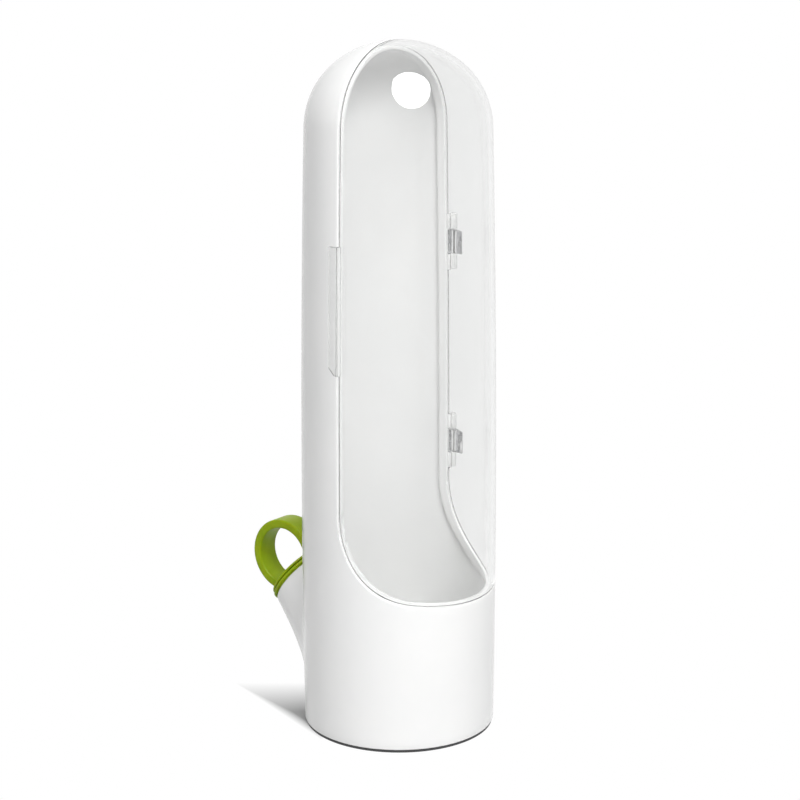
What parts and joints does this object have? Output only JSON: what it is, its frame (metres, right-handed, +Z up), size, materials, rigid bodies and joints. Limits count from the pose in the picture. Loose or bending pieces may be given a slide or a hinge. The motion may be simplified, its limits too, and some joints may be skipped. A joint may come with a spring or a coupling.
{
  "type": "herb keeper",
  "caption": "Tall domed pod for cut herbs: white shell, clear wrap-round door on a side hinge, rear filling spout closed by a soft plug with a pull ring.",
  "frame": {"origin": "on the pod's axis, at the middle of the foot's underside, on the table", "axes": "+Z up along the pod's axis; the window and door face -Y, the filling spout +Y, the hinge is on +X and the finger tab on -X"},
  "size_m": [0.0805, 0.1072, 0.263],
  "materials": {
    "white_plastic": "glossy moulded white",
    "clear_plastic": "clear, glossy",
    "steel": "bright drawn wire",
    "green_silicone": "matt lime green silicone",
    "dark_rubber": "matt dark grey"
  },
  "bodies": {
    "pod": {"pod_body": "white_plastic", "hinge_pins": "steel", "base_cap": "white_plastic", "cap_seal": "dark_rubber", "foot_pad": "dark_rubber"},
    "door": {"clear_door": "clear_plastic"},
    "plug": {"spout_plug": "green_silicone"}
  },
  "joints": [
    {"name": "door_hinge", "type": "hinge", "parent": "pod", "child": "door", "pos_m": [0.0393, 0.0012, 0.145], "axis": [0, 0, 1], "range_deg": [0, 110]},
    {"name": "plug_pull", "type": "slide", "parent": "pod", "child": "plug", "axis": [0, 0.788, 0.6157], "range_m": [0, 0.035]}
  ]
}
